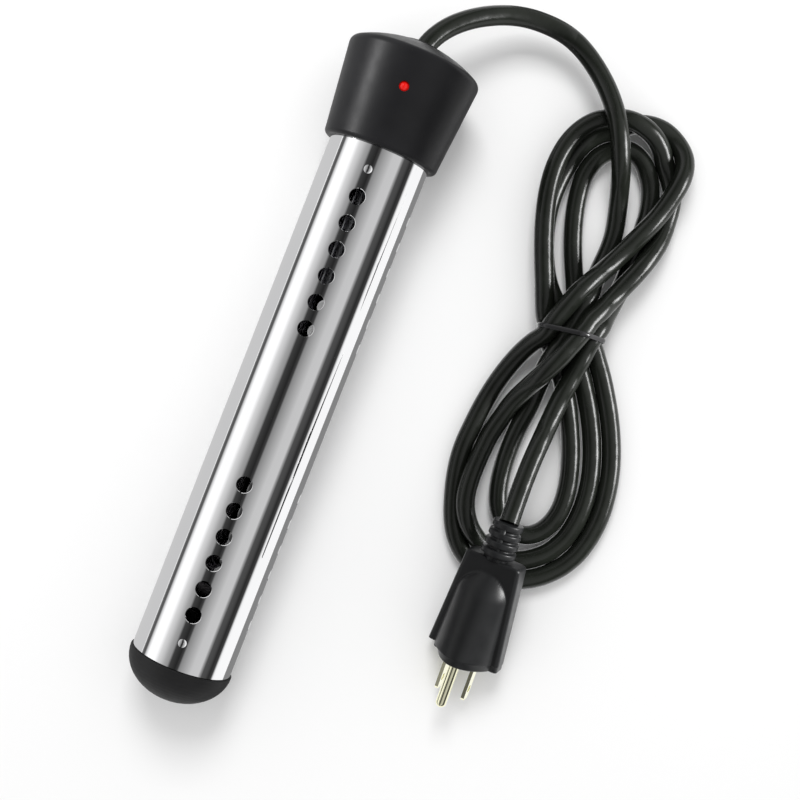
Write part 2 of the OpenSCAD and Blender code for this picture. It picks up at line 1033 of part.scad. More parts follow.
head_cap();
cable_gland();
indicator_led();
guard_tube();
end_cap();
element_flange();
head_o_ring();
heating_element();
terminal_pins();
ceramic_bushes();
thermowell();
thermal_fuse();
thermostat_cup();
bimetal_disc();
transfer_pin();
thermostat_base();
contact_arm();
moving_contact();
fixed_contact();
thermostat_terminals();
potting();
live_lead();
fuse_lead();
load_lead();
neutral_lead();
earth_lead();
earth_screw();
led_board();
led_resistor();
led_leads();
cord_clamp();
clamp_screws();
cord_lead();
cord_hank();
cord_tail();
cord_tie();
plug_overmould();
blade_carrier();
live_blade();
neutral_blade();
ground_pin();
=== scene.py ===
"""Submersible bucket heater with its tied mains cord, on a pale studio floor.

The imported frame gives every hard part. This script adds the mains cord at its real length,
the tie round it, the moulded plug, the polished guard tube, and every material.
Lengths named in millimetres are turned into metres by MM.
"""
import json
import math

import bmesh
import bpy
import numpy as np
from mathutils import Matrix, Vector


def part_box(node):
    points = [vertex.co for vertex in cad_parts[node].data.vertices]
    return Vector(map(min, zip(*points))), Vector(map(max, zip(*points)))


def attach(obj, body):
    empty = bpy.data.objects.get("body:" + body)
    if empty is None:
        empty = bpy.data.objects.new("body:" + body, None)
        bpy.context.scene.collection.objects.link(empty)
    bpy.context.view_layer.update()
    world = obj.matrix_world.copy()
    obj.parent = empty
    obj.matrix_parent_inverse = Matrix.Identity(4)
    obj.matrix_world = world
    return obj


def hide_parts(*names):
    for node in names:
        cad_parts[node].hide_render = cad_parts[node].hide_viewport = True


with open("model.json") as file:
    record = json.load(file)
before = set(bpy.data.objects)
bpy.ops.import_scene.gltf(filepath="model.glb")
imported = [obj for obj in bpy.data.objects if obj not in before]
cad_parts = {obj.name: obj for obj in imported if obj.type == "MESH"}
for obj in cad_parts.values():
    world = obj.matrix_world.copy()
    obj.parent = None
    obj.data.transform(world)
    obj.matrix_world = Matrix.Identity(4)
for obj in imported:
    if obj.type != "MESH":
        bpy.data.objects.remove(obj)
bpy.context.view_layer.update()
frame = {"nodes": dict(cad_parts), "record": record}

MM = 0.001


# ---------- frame of the heater and of the plug ----------

def mount(name):
    """Place and axis of one of the record's mounts."""
    found = next(m for m in frame["record"]["mounts"] if m["name"] == name)
    return Vector(found["pos_m"]), Vector(found["axis"]).normalized()


def middle(node):
    low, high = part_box(node)
    return (low + high) / 2


def axes(origin, x_way, z_way):
    """Matrix that stands a piece drawn upright in millimetres on the given axes."""
    z_axis = z_way.normalized()
    x_axis = (x_way - x_way.dot(z_axis) * z_axis).normalized()
    y_axis = z_axis.cross(x_axis)
    turn = Matrix((x_axis, y_axis, z_axis)).transposed().to_4x4()
    return Matrix.Translation(origin) @ turn @ Matrix.Scale(MM, 4)


CLIP_SEAT_LEVEL = -15
seat, heater_way = mount("guard_clip_seat")
HEATER = axes(seat - heater_way * CLIP_SEAT_LEVEL * MM, Vector((-1, 0, 0)), heater_way)

GROUND_PIN_Y = 6
GROUND_PIN_MIDDLE = 9.3125
pin_at, pin_way = mount("ground_pin")
blades_apart = middle("live_blade") - middle("neutral_blade")
PIN_TO_FACE = Matrix.Translation((0, -GROUND_PIN_Y, -GROUND_PIN_MIDDLE))
PLUG = axes(pin_at, blades_apart, pin_way) @ PIN_TO_FACE


# ---------- small helpers ----------

def link(obj):
    bpy.context.scene.collection.objects.link(obj)
    return obj


def smooth_shade(mesh):
    mesh.polygons.foreach_set("use_smooth", [True] * len(mesh.polygons))


def mesh_piece(name, points, faces, place=None):
    mesh = bpy.data.meshes.new(name)
    mesh.from_pydata([tuple(p) for p in points], [], faces)
    if place is not None:
        mesh.transform(place)
    mesh.validate()
    smooth_shade(mesh)
    return link(bpy.data.objects.new(name, mesh))


def catmull(points, steps):
    """Smooth open curve through the points, steps to each stretch."""
    p = np.array(points, float)
    ends = np.vstack([p[0], p, p[-1]])
    t = np.linspace(0, 1, steps, endpoint=False)[:, None]
    out = []
    for k in range(len(p) - 1):
        a, b, c, d = ends[k:k + 4]
        out.append(0.5 * (2 * b + (c - a) * t + (2 * a - 5 * b + 4 * c - d) * t ** 2
                          + (3 * b - a - 3 * c + d) * t ** 3))
    return np.vstack(out + [p[-1:]])


def evenly(points, step):
    """The same line with its points a step apart."""
    run = np.r_[0, np.cumsum(np.linalg.norm(np.diff(points, axis=0), axis=1))]
    marks = np.linspace(0, run[-1], int(round(run[-1] / step)) + 1)
    return np.stack([np.interp(marks, run, points[:, k]) for k in range(3)], 1)


# ---------- camera ----------

CAMERA_AT = (0.0464, 0.0061, 0.602)
CAMERA_TURN = 21.5
CAMERA_LENS = 60.75

camera_data = bpy.data.cameras.new("camera")
camera_data.lens = CAMERA_LENS
camera = link(bpy.data.objects.new("camera", camera_data))
camera.location = CAMERA_AT
camera.rotation_euler = (0, 0, math.radians(CAMERA_TURN))
bpy.context.scene.camera = camera


# ---------- mains cord ----------

CORD_D = 8.6
CORD_R = CORD_D / 2
CORD_STEP = 3

# From inside the head, out of the gland and over to the hank, and from the hank to the plug
LEAD_ROUTE = [
    (0, 127, 28.9), (0, 134, 29.1), (0, 141, 29.2), (0.3, 146.5, 29.4), (1.6, 152, 29.2),
    (7.7, 162, 27.5), (16.3, 170, 24.5), (25, 176, 20.5), (34, 180, 17.5), (42.5, 181.5, 15.5),
    (58, 180.5, 14.5), (71.5, 173, 14.5), (82.5, 162.5, 18), (91, 150, 21.4), (97, 138.5, 18.5),
    (102.5, 127.5, 12), (106.5, 116, 6), (108.3, 106, 4.5), (107.8, 96.5, 6), (106, 84, 10),
]
TAIL_ROUTE = [
    (114.6, 62, 14.5), (113, 46, 15), (111.3, 32, 16), (110.5, 19.5, 17.6),
    (109, 7.5, 20), (108.6, -9, 23), (108.9, -25.5, 25.9),
]

# The tie crosses the hank here
TIE_AT = (105, 60.5)
TIE_SLOPE = 0.128

# Each turn of the hank goes from the tie, round its tip and back to the tie:
# x and z where it leaves the tie and where it comes back, x and y of its tip, how far it
# bulges towards -X and +X, how near the tip each bulge lies, and its heights at the quarters
HANK_TURNS = [
    ((102.7, 14.5), (95.2, 5.9), (119.5, -34.5), (14.5, 17.5), (1.7, 0.9), (5, 4.3, 4.3)),
    ((95.2, 5.9), (107.5, 21.8), (96, 158.5), (24, 28.5), (1.2, 1.25), (12.9, 12.9, 9)),
    ((107.5, 21.8), (105, 5.9), (108, -44), (21.5, 35), (1.4, 1), (9, 4.3, 4.3)),
    ((105, 5.9), (96, 21.5), (114, 161), (34.5, 15.5), (0.45, 2.2), (4.3, 4.3, 16)),
    ((96, 21.5), (114, 5.9), (115, -52), (27.5, 32), (0.65, 0.8), (6, 4.3, 4.3)),
    ((114, 5.9), (114.6, 14.5), (95, 151.4), (15.5, 17.5), (0.75, 1), (4.3, 4.3, 4.3)),
]
TURN_POINTS = 30
PLAN_SMOOTHING = 8


def tie_y(x):
    return TIE_AT[1] + TIE_SLOPE * (x - TIE_AT[0])


def bulge_shape(angle, fullness):
    """Sideways swing of one side of a turn, 1 at its widest."""
    grid = np.linspace(0, np.pi, 200)
    widest = (np.sin(grid) * np.sin(grid / 2) ** fullness).max()
    return np.abs(np.sin(angle)) * np.sin(angle / 2) ** fullness / widest


def hank_turn(leave, come_back, tip, bulges, fullness, heights):
    angle = np.radians(np.linspace(25, 335, TURN_POINTS))
    x = leave[0] + (come_back[0] - leave[0]) * (1 - np.cos(angle / 2)) / 2
    y = tie_y(x)
    start_x = (leave[0] + come_back[0]) / 2
    way = np.array(tip) - np.array([start_x, tie_y(start_x)])
    way /= np.linalg.norm(way)
    side = np.array([abs(way[1]), -way[0] * np.sign(way[1])])
    reach = (1 - np.cos(angle)) / 2
    swing = np.where(
        angle <= np.pi,
        -bulges[0] * bulge_shape(angle, fullness[0]),
        bulges[1] * bulge_shape(angle, fullness[1]),
    )
    levels = np.array([leave[1], *heights, come_back[1]])
    quarter = 4 * angle / (2 * np.pi)
    below = np.minimum(quarter.astype(int), 3)
    part = quarter - below
    z = levels[below] + (levels[below + 1] - levels[below]) * part * part * (3 - 2 * part)
    return np.stack([x + (tip[0] - x) * reach + side[0] * swing,
                     y + (tip[1] - y) * reach + side[1] * swing, z], 1)


def planned_route():
    stretches = [np.array(LEAD_ROUTE, float)]
    for turn in HANK_TURNS:
        x, z = turn[0]
        stretches.append(np.array([[x, tie_y(x), z]]))
        stretches.append(hank_turn(*turn))
    stretches.append(np.array(TAIL_ROUTE, float))
    line = evenly(catmull(np.vstack(stretches), 16), CORD_STEP)
    for _ in range(PLAN_SMOOTHING):
        line[1:-1] += 0.5 * ((line[:-2] + line[2:]) / 2 - line[1:-1])
    return line


SETTLE_ROUNDS = 900
FREE_AGAIN_AT = 0.75
TIGHTEST_BEND = 24
NEIGHBOURS = 9
FALL = 0.01
PULL_TO_PLAN = 0.02
CREEP = 0.03


def hold_weights(count):
    """1 at the two fixed ends of the cord, falling smoothly to 0 along it."""
    at = np.arange(count, dtype=float)
    from_end = count - 1 - at
    lead = np.clip((56 - at) / 22, 0, 1)
    tail = np.clip((14 - from_end) / 9, 0, 1)
    weight = np.maximum(lead, tail)
    return (weight * weight * (3 - 2 * weight))[:, None]


def settle(plan):
    """Lets the cord come down on the floor and on itself until no strand cuts another."""
    rest, line = plan.copy(), plan.copy()
    first, second = np.triu_indices(len(plan), k=NEIGHBOURS)
    room = CORD_D + 0.05
    hold = hold_weights(len(plan))
    in_hank = plan[:, 0] > 80
    past_tie = np.abs(plan[:, 1] - tie_y(plan[:, 0]))
    lift = 1.5 * np.clip(1 - (past_tie - 3) / 20, 0, 1) * in_hank
    floor = CORD_R + 0.03 + lift
    tie_room = 10 + 0.8 * np.maximum(past_tie - 2, 0)
    most_sag = CORD_STEP ** 2 / (2 * TIGHTEST_BEND)
    for count in range(SETTLE_ROUNDS):
        if count % 10 == 0:
            near = np.linalg.norm(line[first] - line[second], axis=1) < room + 4
            a, b = first[near], second[near]
        line[:, 2] -= FALL
        moved = line - rest
        for _ in range(3):
            moved[1:-1] += 0.5 * ((moved[:-2] + moved[2:]) / 2 - moved[1:-1])
        line = rest + moved
        if count < SETTLE_ROUNDS * FREE_AGAIN_AT:
            line[:, :2] += PULL_TO_PLAN * (plan - line)[:, :2]
        sag = (line[:-2] + line[2:]) / 2 - line[1:-1]
        size = np.maximum(np.linalg.norm(sag, axis=1), 1e-6)
        over = np.clip(1 - most_sag / size, 0, 1)[:, None]
        line[1:-1] += 0.6 * over * sag
        line[:-2] -= 0.15 * over * sag
        line[2:] -= 0.15 * over * sag
        gap = line[a] - line[b]
        apart = np.linalg.norm(gap, axis=1)
        hit = apart < room
        push = ((room - apart[hit]) / 2 / np.maximum(apart[hit], 0.001))[:, None] * gap[hit]
        np.add.at(line, a[hit], push)
        np.add.at(line, b[hit], -push)
        line[:, 2] = np.maximum(line[:, 2], floor)
        squeezed = np.clip(line[:, 0], TIE_AT[0] - tie_room, TIE_AT[0] + tie_room)
        line[:, 0] = np.where(in_hank, squeezed, line[:, 0])
        line += hold * (plan - line)
        rest = rest + CREEP * (line - rest)
    return line


cord_line = settle(planned_route())


def build_cord(line):
    data = bpy.data.curves.new("mains_cord", "CURVE")
    data.dimensions = "3D"
    data.bevel_depth = CORD_R * MM
    data.bevel_resolution = 7
    data.use_fill_caps = True
    points = evenly(catmull(line, 4), CORD_STEP / 2) * MM
    spline = data.splines.new("POLY")
    spline.points.add(len(points) - 1)
    spline.points.foreach_set("co", np.hstack([points, np.ones((len(points), 1))]).ravel())
    spline.use_smooth = True
    return link(bpy.data.objects.new("mains_cord", data)), points


mains_cord, cord_points = build_cord(cord_line)


# ---------- tie round the hank ----------

TIE_T = 1.4
TIE_W = 2.2
TIE_SIDES = 12


def strands_at_tie():
    """Where each strand of the hank crosses the tie, as (across, height) from TIE_AT."""
    ahead = cord_line[:, 1] - tie_y(cord_line[:, 0])
    stretch = math.hypot(1, TIE_SLOPE)
    out = []
    for k in range(len(cord_line) - 1):
        if cord_line[k, 0] > 80 and ahead[k] * ahead[k + 1] <= 0 and ahead[k] != ahead[k + 1]:
            share = ahead[k] / (ahead[k] - ahead[k + 1])
            at = cord_line[k] + (cord_line[k + 1] - cord_line[k]) * share
            out.append(((at[0] - TIE_AT[0]) * stretch, at[2]))
    return np.array(out)


def wrap(centres, radius, count=120):
    """Closed line pulled tight round circles of one radius."""
    angle = np.linspace(0, 2 * np.pi, count, endpoint=False)
    ways = np.stack([np.cos(angle), np.sin(angle)], 1)
    rims = (centres[:, None, :] + radius * ways[None]).reshape(-1, 2)
    order = rims[np.lexsort((rims[:, 1], rims[:, 0]))]

    def half(points):
        kept = []
        for p in points:
            while len(kept) > 1:
                u, v = kept[-1] - kept[-2], p - kept[-2]
                if u[0] * v[1] - u[1] * v[0] > 0:
                    break
                kept.pop()
            kept.append(p)
        return kept[:-1]

    return np.array(half(order) + half(order[::-1]))


def build_tie():
    """A flat soft band with rounded edges, one turn tight round the strands."""
    edge = wrap(strands_at_tie(), CORD_R + TIE_T / 2)
    closed = np.vstack([edge, edge[:1]])
    run = np.r_[0, np.cumsum(np.linalg.norm(np.diff(closed, axis=0), axis=1))]
    marks = np.linspace(0, run[-1], 160, endpoint=False)
    ring = np.stack([np.interp(marks, run, closed[:, k]) for k in range(2)], 1)
    ways = np.roll(ring, -1, 0) - np.roll(ring, 1, 0)
    out = np.stack([ways[:, 1], -ways[:, 0]], 1)
    out /= np.linalg.norm(out, axis=1)[:, None]
    across = np.array([1, TIE_SLOPE, 0]) / math.hypot(1, TIE_SLOPE)
    along = np.array([-TIE_SLOPE, 1, 0]) / math.hypot(1, TIE_SLOPE)
    up = np.array([0, 0, 1.0])
    origin = np.array([TIE_AT[0], TIE_AT[1], 0])
    points = []
    for at, way in zip(ring, out):
        for k in range(TIE_SIDES):
            a = 2 * math.pi * k / TIE_SIDES
            thick = TIE_T / 2 * math.sin(a)
            wide = TIE_W / 2 * math.cos(a)
            flat = at + way * thick
            points.append(origin + across * flat[0] + up * flat[1] + along * wide)
    count = len(ring)
    faces = []
    for i in range(count):
        for k in range(TIE_SIDES):
            a, b = i * TIE_SIDES + k, i * TIE_SIDES + (k + 1) % TIE_SIDES
            c, d = (a + TIE_SIDES) % (count * TIE_SIDES), (b + TIE_SIDES) % (count * TIE_SIDES)
            faces.append((a, c, d, b))
    return mesh_piece("hank_tie", points, faces, Matrix.Scale(MM, 4))


hank_tie = build_tie()


# ---------- plug ----------

PLUG_LENGTH = 48.6
PLUG_CORNER = 1.9
SHOULDER_R = 1.5
# At the face and, one plug length back, at the rear shoulder
HALF_WIDTH = (17.2, 12.6)
FOOT_Y = (-11.5, -8.2)
DECK_Y = (-1, 5.3)
RIDGE_Y = (13.4, 8.8)
HUMP_SHARE = 0.8
# Levels near the face, with how far the outline is pulled in at each
FACE_LEVELS = ((-3.1, 0.1), (-3.0, 0.2), (-0.8, 0.25), (-0.3, 0.5), (0, 1.1))
STEP_FROM = -3.05
RELIEF_LENGTH = 16.4
RELIEF_R = 7.7
DOME_START = 0.64
DOME_RUN = 0.22
FACE_STEP = 3.2


def fade(pair, back):
    return pair[0] + (pair[1] - pair[0]) * back


def plug_ring(level, shrink=0.0, cut=0.0):
    """Outline of the body at a level: a slab with upright sides and a broad low hump.

    shrink pulls the outline in all round, cut pulls in its -X side only."""
    back = -level / PLUG_LENGTH
    half_width = fade(HALF_WIDTH, back) - shrink
    foot = fade(FOOT_Y, back) + shrink
    deck = fade(DECK_Y, back) - shrink
    ridge = fade(RIDGE_Y, back) - shrink - deck
    hump_half = HUMP_SHARE * half_width
    past = max(back - DOME_START, 0) / DOME_RUN
    corner = PLUG_CORNER
    flat = half_width - corner
    points = []
    for a in np.radians(np.linspace(-90, 0, 7)):
        points.append((flat + corner * math.cos(a), foot + corner + corner * math.sin(a)))
    for y in np.linspace(foot + corner, deck - corner, 8)[1:]:
        points.append((half_width, y))
    for a in np.radians(np.linspace(0, 84, 8))[1:]:
        points.append((flat + corner * math.cos(a), deck - corner + corner * math.sin(a)))
    for x in np.linspace(points[-1][0], 0, 48)[1:]:
        inside = max(1 - (x / hump_half) ** 2 - past ** 2, 0)
        points.append((x, deck + ridge * inside ** 0.8))
    narrow = (half_width - cut) / half_width
    mirrored = [(-x * narrow, y) for x, y in reversed(points[:-1])]
    bottom = [(x, foot) for x in np.linspace(-flat * narrow, flat, 12)[1:-1]]
    return [(x, y, level) for x, y in points + mirrored + bottom]


def loft(rings):
    """Closed skin over rings that have the same number of points."""
    size = len(rings[0])
    points = [p for ring in rings for p in ring]
    faces = []
    for i in range(len(rings) - 1):
        for k in range(size):
            a, b = i * size + k, i * size + (k + 1) % size
            faces.append((a, b, b + size, a + size))
    faces.append(tuple(reversed(range(size))))
    faces.append(tuple(range((len(rings) - 1) * size, len(rings) * size)))
    return points, faces


def join_parts(parts):
    points, faces = [], []
    for more_points, more_faces in parts:
        shift = len(points)
        points += list(more_points)
        faces += [tuple(i + shift for i in face) for face in more_faces]
    return points, faces


def turned(outline, count=64):
    """Solid of revolution about z from (radius, level) pairs, with flat ends."""
    rings = []
    for radius, level in outline:
        rings.append([(radius * math.cos(2 * math.pi * k / count),
                       radius * math.sin(2 * math.pi * k / count), level)
                      for k in range(count)])
    return loft(rings)


def plug_body():
    """Levels from the rear shoulder to the face, with rounded ends and a step at the face."""
    rings = []
    for a in np.radians(np.linspace(90, 0, 6))[:-1]:
        level = -PLUG_LENGTH + SHOULDER_R * (1 - math.sin(a))
        rings.append(plug_ring(level, SHOULDER_R * (1 - math.cos(a))))
    for level in np.linspace(-PLUG_LENGTH + SHOULDER_R, -3.2, 60):
        rings.append(plug_ring(level))
    for level, shrink in FACE_LEVELS:
        rings.append(plug_ring(level, shrink, FACE_STEP if level > STEP_FROM else 0))
    return loft(rings)


def relief_outline():
    """Four rounded ribs with narrow grooves between them, tapering a little to the cord."""
    rear = -PLUG_LENGTH - RELIEF_LENGTH
    ribs = 4
    pitch = RELIEF_LENGTH / ribs
    outline = [(CORD_R + 0.1, rear), (RELIEF_R - 1.6, rear)]
    for i in range(ribs):
        start = rear + i * pitch
        top = RELIEF_R - 0.9 + 0.3 * i
        rib = pitch * 0.66
        for a in np.linspace(0, 90, 4):
            r = math.radians(a)
            outline.append((top - 0.6 + 0.6 * math.sin(r), start + 0.6 - 0.6 * math.cos(r)))
        for a in np.linspace(0, 90, 4):
            r = math.radians(a)
            outline.append((top - 0.6 + 0.6 * math.cos(r), start + rib - 0.6 + 0.6 * math.sin(r)))
        outline += [(5.6, start + rib + 0.1), (5.6, start + pitch - 0.1)]
    outline.append((5.6, -PLUG_LENGTH + 1))
    return outline


def relief_bridges():
    """Two slim webs that tie the ribs together, above and below."""
    rear = -PLUG_LENGTH - RELIEF_LENGTH
    parts = []
    for side in (1, -1):
        rings = []
        inner, outer = side * 4.8, side * (RELIEF_R - 1.1)
        for level in (rear + 1.2, -PLUG_LENGTH + 0.5):
            rings.append([(-1.5, inner, level), (1.5, inner, level),
                          (1.3, outer, level), (-1.3, outer, level)])
        if side < 0:
            rings = [list(reversed(ring)) for ring in rings]
        parts.append(loft(rings))
    return parts


def build_plug():
    parts = [plug_body(), turned(relief_outline())] + relief_bridges()
    points, faces = join_parts(parts)
    return mesh_piece("moulded_plug", points, faces, PLUG)


moulded_plug = build_plug()


# ---------- guard tube ----------

TUBE_R = 22
TUBE_WALL = 0.8
HOLE_R = 3.4
HOLE_PITCH = 11.6
HOLES = 6
GROUPS = (48.7, -78.35)
HOLE_ROLL = -1
DIMPLE_LEVELS = (89.7, -119.8)
DIMPLE_BALL = 3.5
DIMPLE_DEPTH = 0.5
TUBE_FOOT = -131.15
TUBE_HEAD = 112
PATCH_HALF = HOLE_PITCH / 2
PATCH_SIDE = 10
BETWEEN = 24
EDGE_BREAK = 0.15


def square_rim():
    """Points round a square patch from one corner, as (across, along) from -1 to 1."""
    side = np.linspace(-1, 1, PATCH_SIDE + 1)[:-1]
    return np.array([(s, -1) for s in side] + [(1, s) for s in side]
                    + [(-s, 1) for s in side] + [(-1, -s) for s in side])


class Wall:
    """Collects points of a tube wall given by arc length round the tube and level along it."""

    def __init__(self, radius, outward):
        self.radius, self.outward = radius, outward
        self.points, self.faces = [], []

    def add(self, arc, level, sink=0.0):
        turn = arc / TUBE_R
        r = self.radius - sink
        self.points.append((r * math.cos(turn), r * math.sin(turn), level))
        return len(self.points) - 1

    def quad(self, a, b, c, d):
        self.faces.append((a, b, c, d) if self.outward else (d, c, b, a))


def add_patch(wall, arc, level, rings, closed):
    """Square patch round a hole or a dimple; rings are (radius, sink) from its rim inwards."""
    rim = square_rim() * PATCH_HALF
    ways = rim / np.linalg.norm(rim, axis=1)[:, None]
    count = len(rim)
    outer = [wall.add(arc + x, level + y) for x, y in rim]
    for share in (0.35, 0.68):
        inner_line = rim + (ways * rings[0][0] - rim) * share
        inner = [wall.add(arc + x, level + y) for x, y in inner_line]
        for k in range(count):
            n = (k + 1) % count
            wall.quad(outer[k], outer[n], inner[n], inner[k])
        outer = inner
    for radius, sink in rings:
        inner = [wall.add(arc + x * radius, level + y * radius, sink) for x, y in ways]
        for k in range(count):
            n = (k + 1) % count
            wall.quad(outer[k], outer[n], inner[n], inner[k])
        outer = inner
    if closed:
        hub = wall.add(arc, level, DIMPLE_DEPTH)
        for k in range(count):
            n = (k + 1) % count
            face = (outer[k], outer[n], hub)
            wall.faces.append(face if wall.outward else face[::-1])
    return outer


def add_grid(wall, arcs, levels):
    index = [[wall.add(a, z) for a in arcs] for z in levels]
    for i in range(len(levels) - 1):
        for k in range(len(arcs) - 1):
            wall.quad(index[i][k], index[i][k + 1], index[i + 1][k + 1], index[i + 1][k])


def dimple_rings():
    footprint = math.sqrt(DIMPLE_BALL ** 2 - (DIMPLE_BALL - DIMPLE_DEPTH) ** 2)
    out = [(footprint + 0.35, 0.0)]
    for share in (1, 0.8, 0.6, 0.4, 0.2):
        r = footprint * share
        out.append((r, math.sqrt(DIMPLE_BALL ** 2 - r * r) - (DIMPLE_BALL - DIMPLE_DEPTH) + 0.02))
    return out


def patch_levels():
    """Middle of every patch along the tube, with what it holds."""
    out = []
    for middle_level in GROUPS:
        for i in range(HOLES):
            out.append((middle_level + (i - (HOLES - 1) / 2) * HOLE_PITCH, "hole"))
    out += [(level, "dimple") for level in DIMPLE_LEVELS]
    return sorted(out)


def tube_wall(radius, outward):
    wall = Wall(radius, outward)
    edge = EDGE_BREAK if outward else 0.0
    quarter = math.pi / 2 * TUBE_R
    rows = [math.radians(HOLE_ROLL) * TUBE_R + k * quarter for k in range(4)]
    side = np.linspace(-PATCH_HALF, PATCH_HALF, PATCH_SIDE + 1)
    gaps = [np.linspace(PATCH_HALF, quarter - PATCH_HALF, BETWEEN + 1) + row for row in rows]
    rims = []
    level = TUBE_FOOT
    for at, kind in patch_levels() + [(TUBE_HEAD + PATCH_HALF, "end")]:
        start = at - PATCH_HALF
        if start - level > 0.01:
            plain = np.linspace(level, start, max(2, int((start - level) / 3) + 1))
            for row in rows:
                add_grid(wall, row + side, plain)
            for gap in gaps:
                add_grid(wall, gap, plain)
        if kind == "end":
            break
        for row in rows:
            if kind == "hole":
                rings = [(HOLE_R + 0.9, 0), (HOLE_R + edge, 0), (HOLE_R, edge)]
                rims.append(add_patch(wall, row, at, rings, False))
            else:
                add_patch(wall, row, at, dimple_rings(), True)
        for gap in gaps:
            add_grid(wall, gap, at + side)
        level = at + PATCH_HALF
    return wall, rims


def build_tube():
    outer, outer_rims = tube_wall(TUBE_R, True)
    inner, inner_rims = tube_wall(TUBE_R - TUBE_WALL, False)
    points, faces = join_parts([(outer.points, outer.faces), (inner.points, inner.faces)])
    shift = len(outer.points)
    for out_rim, in_rim in zip(outer_rims, inner_rims):
        count = len(out_rim)
        for k in range(count):
            n = (k + 1) % count
            faces.append((out_rim[k], out_rim[n], in_rim[n] + shift, in_rim[k] + shift))
    mesh = bpy.data.meshes.new("polished_guard")
    mesh.from_pydata(points, [], faces)
    build = bmesh.new()
    build.from_mesh(mesh)
    bmesh.ops.remove_doubles(build, verts=build.verts, dist=0.002)
    ends = {}
    for edge in build.edges:
        if edge.is_boundary:
            low = edge.verts[0].co.z < 0
            ends.setdefault(low, []).append(edge)
    for edges in ends.values():
        bmesh.ops.bridge_loops(build, edges=edges)
    bmesh.ops.recalc_face_normals(build, faces=build.faces)
    build.to_mesh(mesh)
    build.free()
    smooth_shade(mesh)
    piece = link(bpy.data.objects.new("polished_guard", mesh))
    wall_normals(piece)
    mesh.transform(HEATER)
    return piece


def wall_normals(piece):
    """Exact cylinder normals on both walls, so that reflections run straight."""
    mesh = piece.data
    co = np.zeros(len(mesh.vertices) * 3)
    mesh.vertices.foreach_get("co", co)
    co = co.reshape(-1, 3)
    radius = np.hypot(co[:, 0], co[:, 1])
    corners = np.zeros(len(mesh.loops), int)
    mesh.loops.foreach_get("vertex_index", corners)
    normals = np.zeros((len(mesh.loops), 3))
    for face in mesh.polygons:
        for loop in face.loop_indices:
            v = corners[loop]
            flat = np.array([co[v, 0], co[v, 1], 0]) / radius[v]
            facing = np.dot(face.normal, flat)
            on_wall = abs(radius[v] - TUBE_R) < 0.01 or abs(radius[v] - TUBE_R + TUBE_WALL) < 0.01
            if on_wall and abs(facing) > 0.98:
                normals[loop] = flat * (1 if facing > 0 else -1)
            else:
                normals[loop] = face.normal
    mesh.normals_split_custom_set(normals.tolist())


polished_guard = build_tube()


# ---------- materials ----------

class Shader:
    """A Principled material and the few node patterns that the pieces share."""

    def __init__(self, name, colour, roughness, metallic=0.0, specular=0.5):
        self.material = bpy.data.materials.new(name)
        self.material.use_nodes = True
        self.tree = self.material.node_tree
        self.shader = self.tree.nodes["Principled BSDF"]
        self.colour, self.roughness = colour, roughness
        self.set("Base Color", (*colour, 1))
        self.set("Roughness", roughness)
        self.set("Metallic", metallic)
        self.set("Specular IOR Level", specular)
        self.where = self.tree.nodes.new("ShaderNodeTexCoord").outputs["Object"]

    def set(self, socket, value):
        self.shader.inputs[socket].default_value = value

    def node(self, kind, **inputs):
        node = self.tree.nodes.new(kind)
        for name, value in inputs.items():
            socket = node.inputs[name.replace("_", " ")]
            if isinstance(value, bpy.types.NodeSocket):
                self.tree.links.new(value, socket)
            else:
                socket.default_value = value
        return node

    def stretched(self, scale):
        return self.node("ShaderNodeMapping", Vector=self.where, Scale=scale).outputs["Vector"]

    def noise(self, scale, detail=3.0, rough=0.55, where=None):
        return self.node("ShaderNodeTexNoise", Vector=where or self.where, Scale=scale,
                         Detail=detail, Roughness=rough).outputs["Fac"]

    def spread(self, value, low, high):
        """Maps a noise value to a range."""
        node = self.node("ShaderNodeMapRange", Value=value)
        node.inputs["From Min"].default_value = 0.3
        node.inputs["From Max"].default_value = 0.7
        node.inputs["To Min"].default_value = low
        node.inputs["To Max"].default_value = high
        return node.outputs["Result"]

    def vary_colour(self, value, amount, tint=None):
        """Moves the colour between a darker and a lighter shade of itself."""
        ramp = self.tree.nodes.new("ShaderNodeValToRGB")
        ramp.color_ramp.elements[0].position = 0.3
        ramp.color_ramp.elements[1].position = 0.7
        dark = [c * (1 - amount) for c in self.colour]
        light = tint or [min(c * (1 + amount), 1) for c in self.colour]
        ramp.color_ramp.elements[0].color = (*dark, 1)
        ramp.color_ramp.elements[1].color = (*light, 1)
        self.tree.links.new(value, ramp.inputs["Fac"])
        self.tree.links.new(ramp.outputs["Color"], self.shader.inputs["Base Color"])

    def vary_roughness(self, value, amount):
        low, high = max(self.roughness - amount, 0.01), self.roughness + amount
        self.tree.links.new(self.spread(value, low, high), self.shader.inputs["Roughness"])

    def bump(self, value, depth, strength=1.0):
        """Raises the surface by a noise value; depth is in metres."""
        node = self.node("ShaderNodeBump", Height=value)
        node.inputs["Strength"].default_value = strength
        node.inputs["Distance"].default_value = depth
        self.tree.links.new(node.outputs["Normal"], self.shader.inputs["Normal"])


def moulded(name, colour, roughness, grain=2600, depth=0.00003, specular=0.5):
    """Moulded plastic or rubber: fine grain, slow cloudiness, uneven gloss."""
    look = Shader(name, colour, roughness, specular=specular)
    look.vary_colour(look.noise(45, 4), 0.16)
    look.vary_roughness(look.noise(160, 5), 0.05)
    look.bump(look.noise(grain, 2), depth)
    return look.material


def machined(name, colour, roughness, along=(1, 0.05, 1), depth=0.000008):
    """Metal with fine drawn or turned lines along the heater."""
    look = Shader(name, colour, roughness, metallic=1.0)
    lines = look.noise(2400, 4, where=look.stretched(along))
    look.vary_colour(look.noise(70, 4), 0.08)
    look.vary_roughness(lines, 0.08)
    look.bump(lines, depth)
    return look.material


